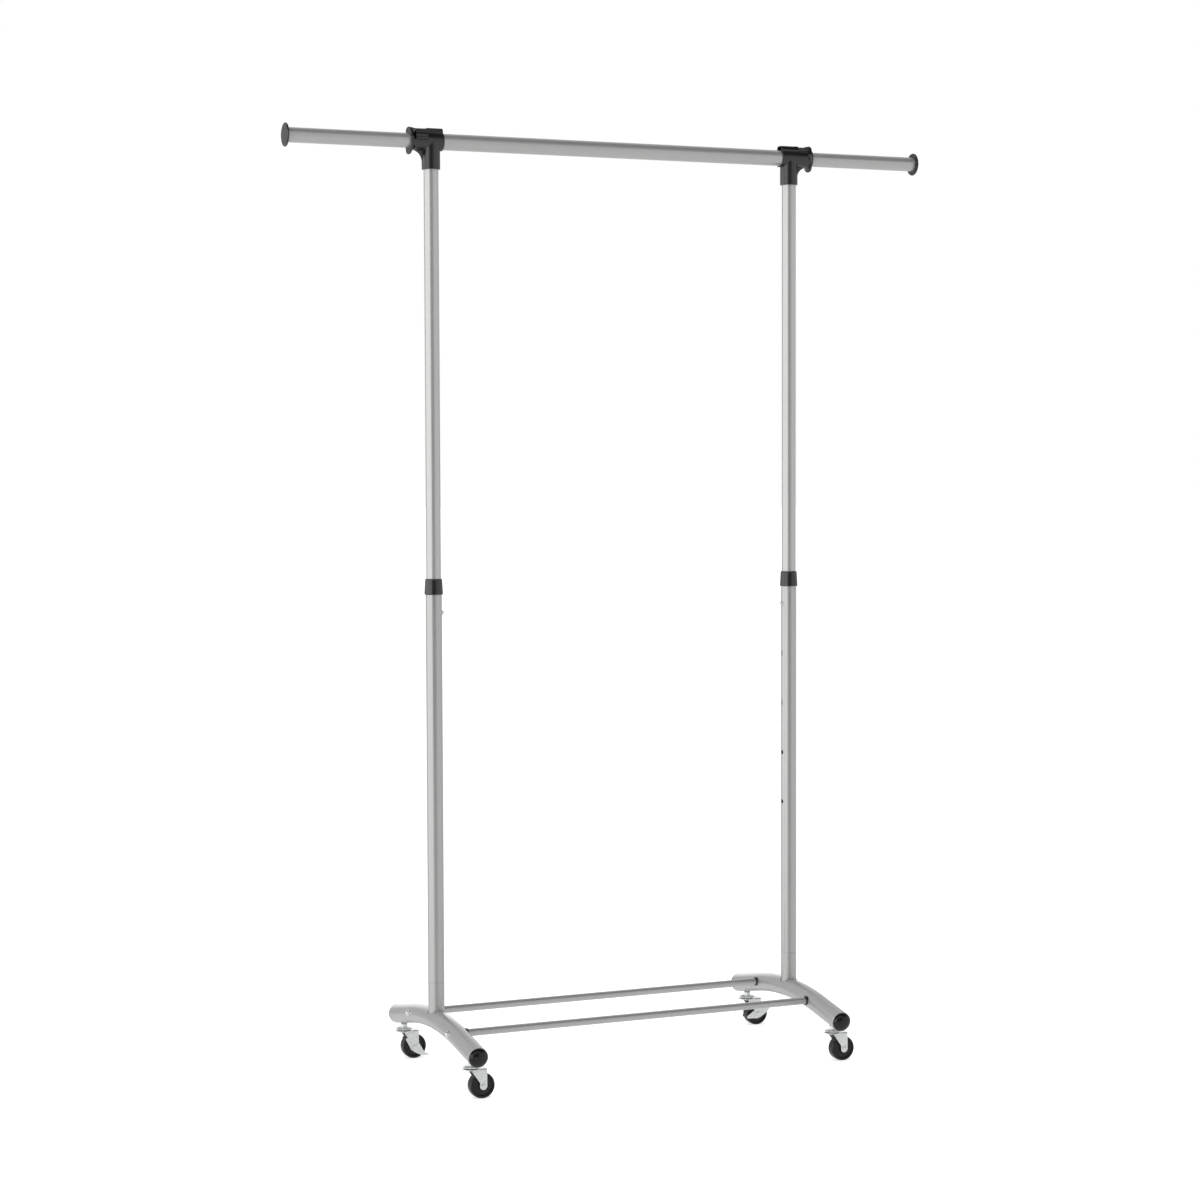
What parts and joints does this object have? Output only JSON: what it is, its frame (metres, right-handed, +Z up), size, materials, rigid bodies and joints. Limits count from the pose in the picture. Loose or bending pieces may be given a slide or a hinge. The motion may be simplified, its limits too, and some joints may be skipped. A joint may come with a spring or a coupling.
{
  "type": "rolling clothes rack",
  "caption": "Single-bar rolling garment rack: telescoping posts with snap buttons, pull-out bar ends, arched feet and swivel casters with brakes.",
  "frame": {"origin": "on the floor, midway between the two posts and under the hanging bar", "axes": "+X along the hanging bar, towards the end that the casters trail to; +Y to the side with the two braked casters; +Z up"},
  "size_m": [1.2, 0.4182, 1.6263],
  "materials": {
    "painted_steel": "satin silver-grey powder coat on steel tube",
    "black_plastic": "moulded, lightly glossy black",
    "wheel_plastic": "moulded hard black tread",
    "zinc_plate": "bright zinc plating"
  },
  "bodies": {
    "base": {"foot_left": "painted_steel", "foot_right": "painted_steel", "foot_plugs_left": "black_plastic", "foot_plugs_right": "black_plastic", "post_socket_left": "painted_steel", "post_socket_right": "painted_steel", "base_rail_front": "painted_steel", "base_rail_rear": "painted_steel", "rail_ferrules": "black_plastic", "rail_inserts": "zinc_plate", "rail_bolts": "zinc_plate", "lower_post_left": "painted_steel", "lower_post_right": "painted_steel", "post_collar_left": "black_plastic", "post_collar_right": "black_plastic", "caster_bosses": "painted_steel", "caster_stems": "zinc_plate", "caster_balls": "zinc_plate"},
    "upper_frame": {"upper_post_left": "painted_steel", "upper_post_right": "painted_steel", "snap_spring_left": "zinc_plate", "snap_spring_right": "zinc_plate", "tee_left": "black_plastic", "tee_right": "black_plastic", "tee_screws": "zinc_plate", "hanging_bar": "painted_steel", "release_spring_left": "zinc_plate", "release_spring_right": "zinc_plate"},
    "extension_left": {"extension_bar_left": "painted_steel", "extension_guide_left": "black_plastic", "bar_cap_left": "black_plastic"},
    "release_left": {"release_button_left": "black_plastic"},
    "snap_left": {"snap_button_left": "zinc_plate"},
    "extension_right": {"extension_bar_right": "painted_steel", "extension_guide_right": "black_plastic", "bar_cap_right": "black_plastic"},
    "release_right": {"release_button_right": "black_plastic"},
    "snap_right": {"snap_button_right": "zinc_plate"},
    "swivel_front_left": {"fork_front_left": "zinc_plate", "axle_front_left": "zinc_plate"},
    "roller_front_left": {"wheel_front_left": "wheel_plastic", "hub_bush_front_left": "zinc_plate"},
    "swivel_front_right": {"fork_front_right": "zinc_plate", "axle_front_right": "zinc_plate"},
    "roller_front_right": {"wheel_front_right": "wheel_plastic", "hub_bush_front_right": "zinc_plate"},
    "swivel_rear_left": {"fork_rear_left": "zinc_plate", "axle_rear_left": "zinc_plate"},
    "roller_rear_left": {"wheel_rear_left": "wheel_plastic", "hub_bush_rear_left": "zinc_plate"},
    "swivel_rear_right": {"fork_rear_right": "zinc_plate", "axle_rear_right": "zinc_plate"},
    "roller_rear_right": {"wheel_rear_right": "wheel_plastic", "hub_bush_rear_right": "zinc_plate"},
    "pedal_rear_left": {"brake_rear_left": "zinc_plate"},
    "pedal_rear_right": {"brake_rear_right": "zinc_plate"}
  },
  "joints": [
    {"name": "height_slide", "type": "slide", "parent": "base", "child": "upper_frame", "axis": [0, 0, 1], "range_m": [-0.36, 0], "deforming": ["snap_button_left", "snap_button_right", "snap_spring_left", "snap_spring_right"]},
    {"name": "extension_slide_left", "type": "slide", "parent": "upper_frame", "child": "extension_left", "axis": [1, 0, 0], "range_m": [0, 0.19]},
    {"name": "release_press_left", "type": "slide", "parent": "upper_frame", "child": "release_left", "axis": [0, 0, -1], "range_m": [0, 0.0018], "stiffness_N_per_m": 800, "springref_m": -0.002, "deforming": ["release_spring_left"]},
    {"name": "snap_press_left", "type": "slide", "parent": "upper_frame", "child": "snap_left", "axis": [-1, 0, 0], "range_m": [0, 0.0065], "stiffness_N_per_m": 600, "springref_m": -0.004, "deforming": ["snap_spring_left"]},
    {"name": "extension_slide_right", "type": "slide", "parent": "upper_frame", "child": "extension_right", "axis": [-1, 0, 0], "range_m": [0, 0.19]},
    {"name": "release_press_right", "type": "slide", "parent": "upper_frame", "child": "release_right", "axis": [0, 0, -1], "range_m": [0, 0.0018], "stiffness_N_per_m": 800, "springref_m": -0.002, "deforming": ["release_spring_right"]},
    {"name": "snap_press_right", "type": "slide", "parent": "upper_frame", "child": "snap_right", "axis": [1, 0, 0], "range_m": [0, 0.0065], "stiffness_N_per_m": 600, "springref_m": -0.004, "deforming": ["snap_spring_right"]},
    {"name": "swivel_turn_front_left", "type": "hinge", "parent": "base", "child": "swivel_front_left", "pos_m": [-0.342, -0.167, 0.05], "axis": [0, 0, 1], "continuous": true},
    {"name": "wheel_roll_front_left", "type": "hinge", "parent": "swivel_front_left", "child": "roller_front_left", "pos_m": [-0.325, -0.167, 0.022], "axis": [0, 1, 0], "continuous": true},
    {"name": "swivel_turn_front_right", "type": "hinge", "parent": "base", "child": "swivel_front_right", "pos_m": [0.342, -0.167, 0.05], "axis": [0, 0, 1], "continuous": true},
    {"name": "wheel_roll_front_right", "type": "hinge", "parent": "swivel_front_right", "child": "roller_front_right", "pos_m": [0.359, -0.167, 0.022], "axis": [0, 1, 0], "continuous": true},
    {"name": "swivel_turn_rear_left", "type": "hinge", "parent": "base", "child": "swivel_rear_left", "pos_m": [-0.342, 0.167, 0.05], "axis": [0, 0, 1], "continuous": true},
    {"name": "wheel_roll_rear_left", "type": "hinge", "parent": "swivel_rear_left", "child": "roller_rear_left", "pos_m": [-0.325, 0.167, 0.022], "axis": [0, 1, 0], "continuous": true},
    {"name": "swivel_turn_rear_right", "type": "hinge", "parent": "base", "child": "swivel_rear_right", "pos_m": [0.342, 0.167, 0.05], "axis": [0, 0, 1], "continuous": true},
    {"name": "wheel_roll_rear_right", "type": "hinge", "parent": "swivel_rear_right", "child": "roller_rear_right", "pos_m": [0.359, 0.167, 0.022], "axis": [0, 1, 0], "continuous": true},
    {"name": "brake_lift_rear_left", "type": "hinge", "parent": "swivel_rear_left", "child": "pedal_rear_left", "pos_m": [-0.325, 0.167, 0.022], "axis": [0, -1, 0], "range_deg": [0, 60]},
    {"name": "brake_lift_rear_right", "type": "hinge", "parent": "swivel_rear_right", "child": "pedal_rear_right", "pos_m": [0.359, 0.167, 0.022], "axis": [0, -1, 0], "range_deg": [-60, 0]}
  ]
}
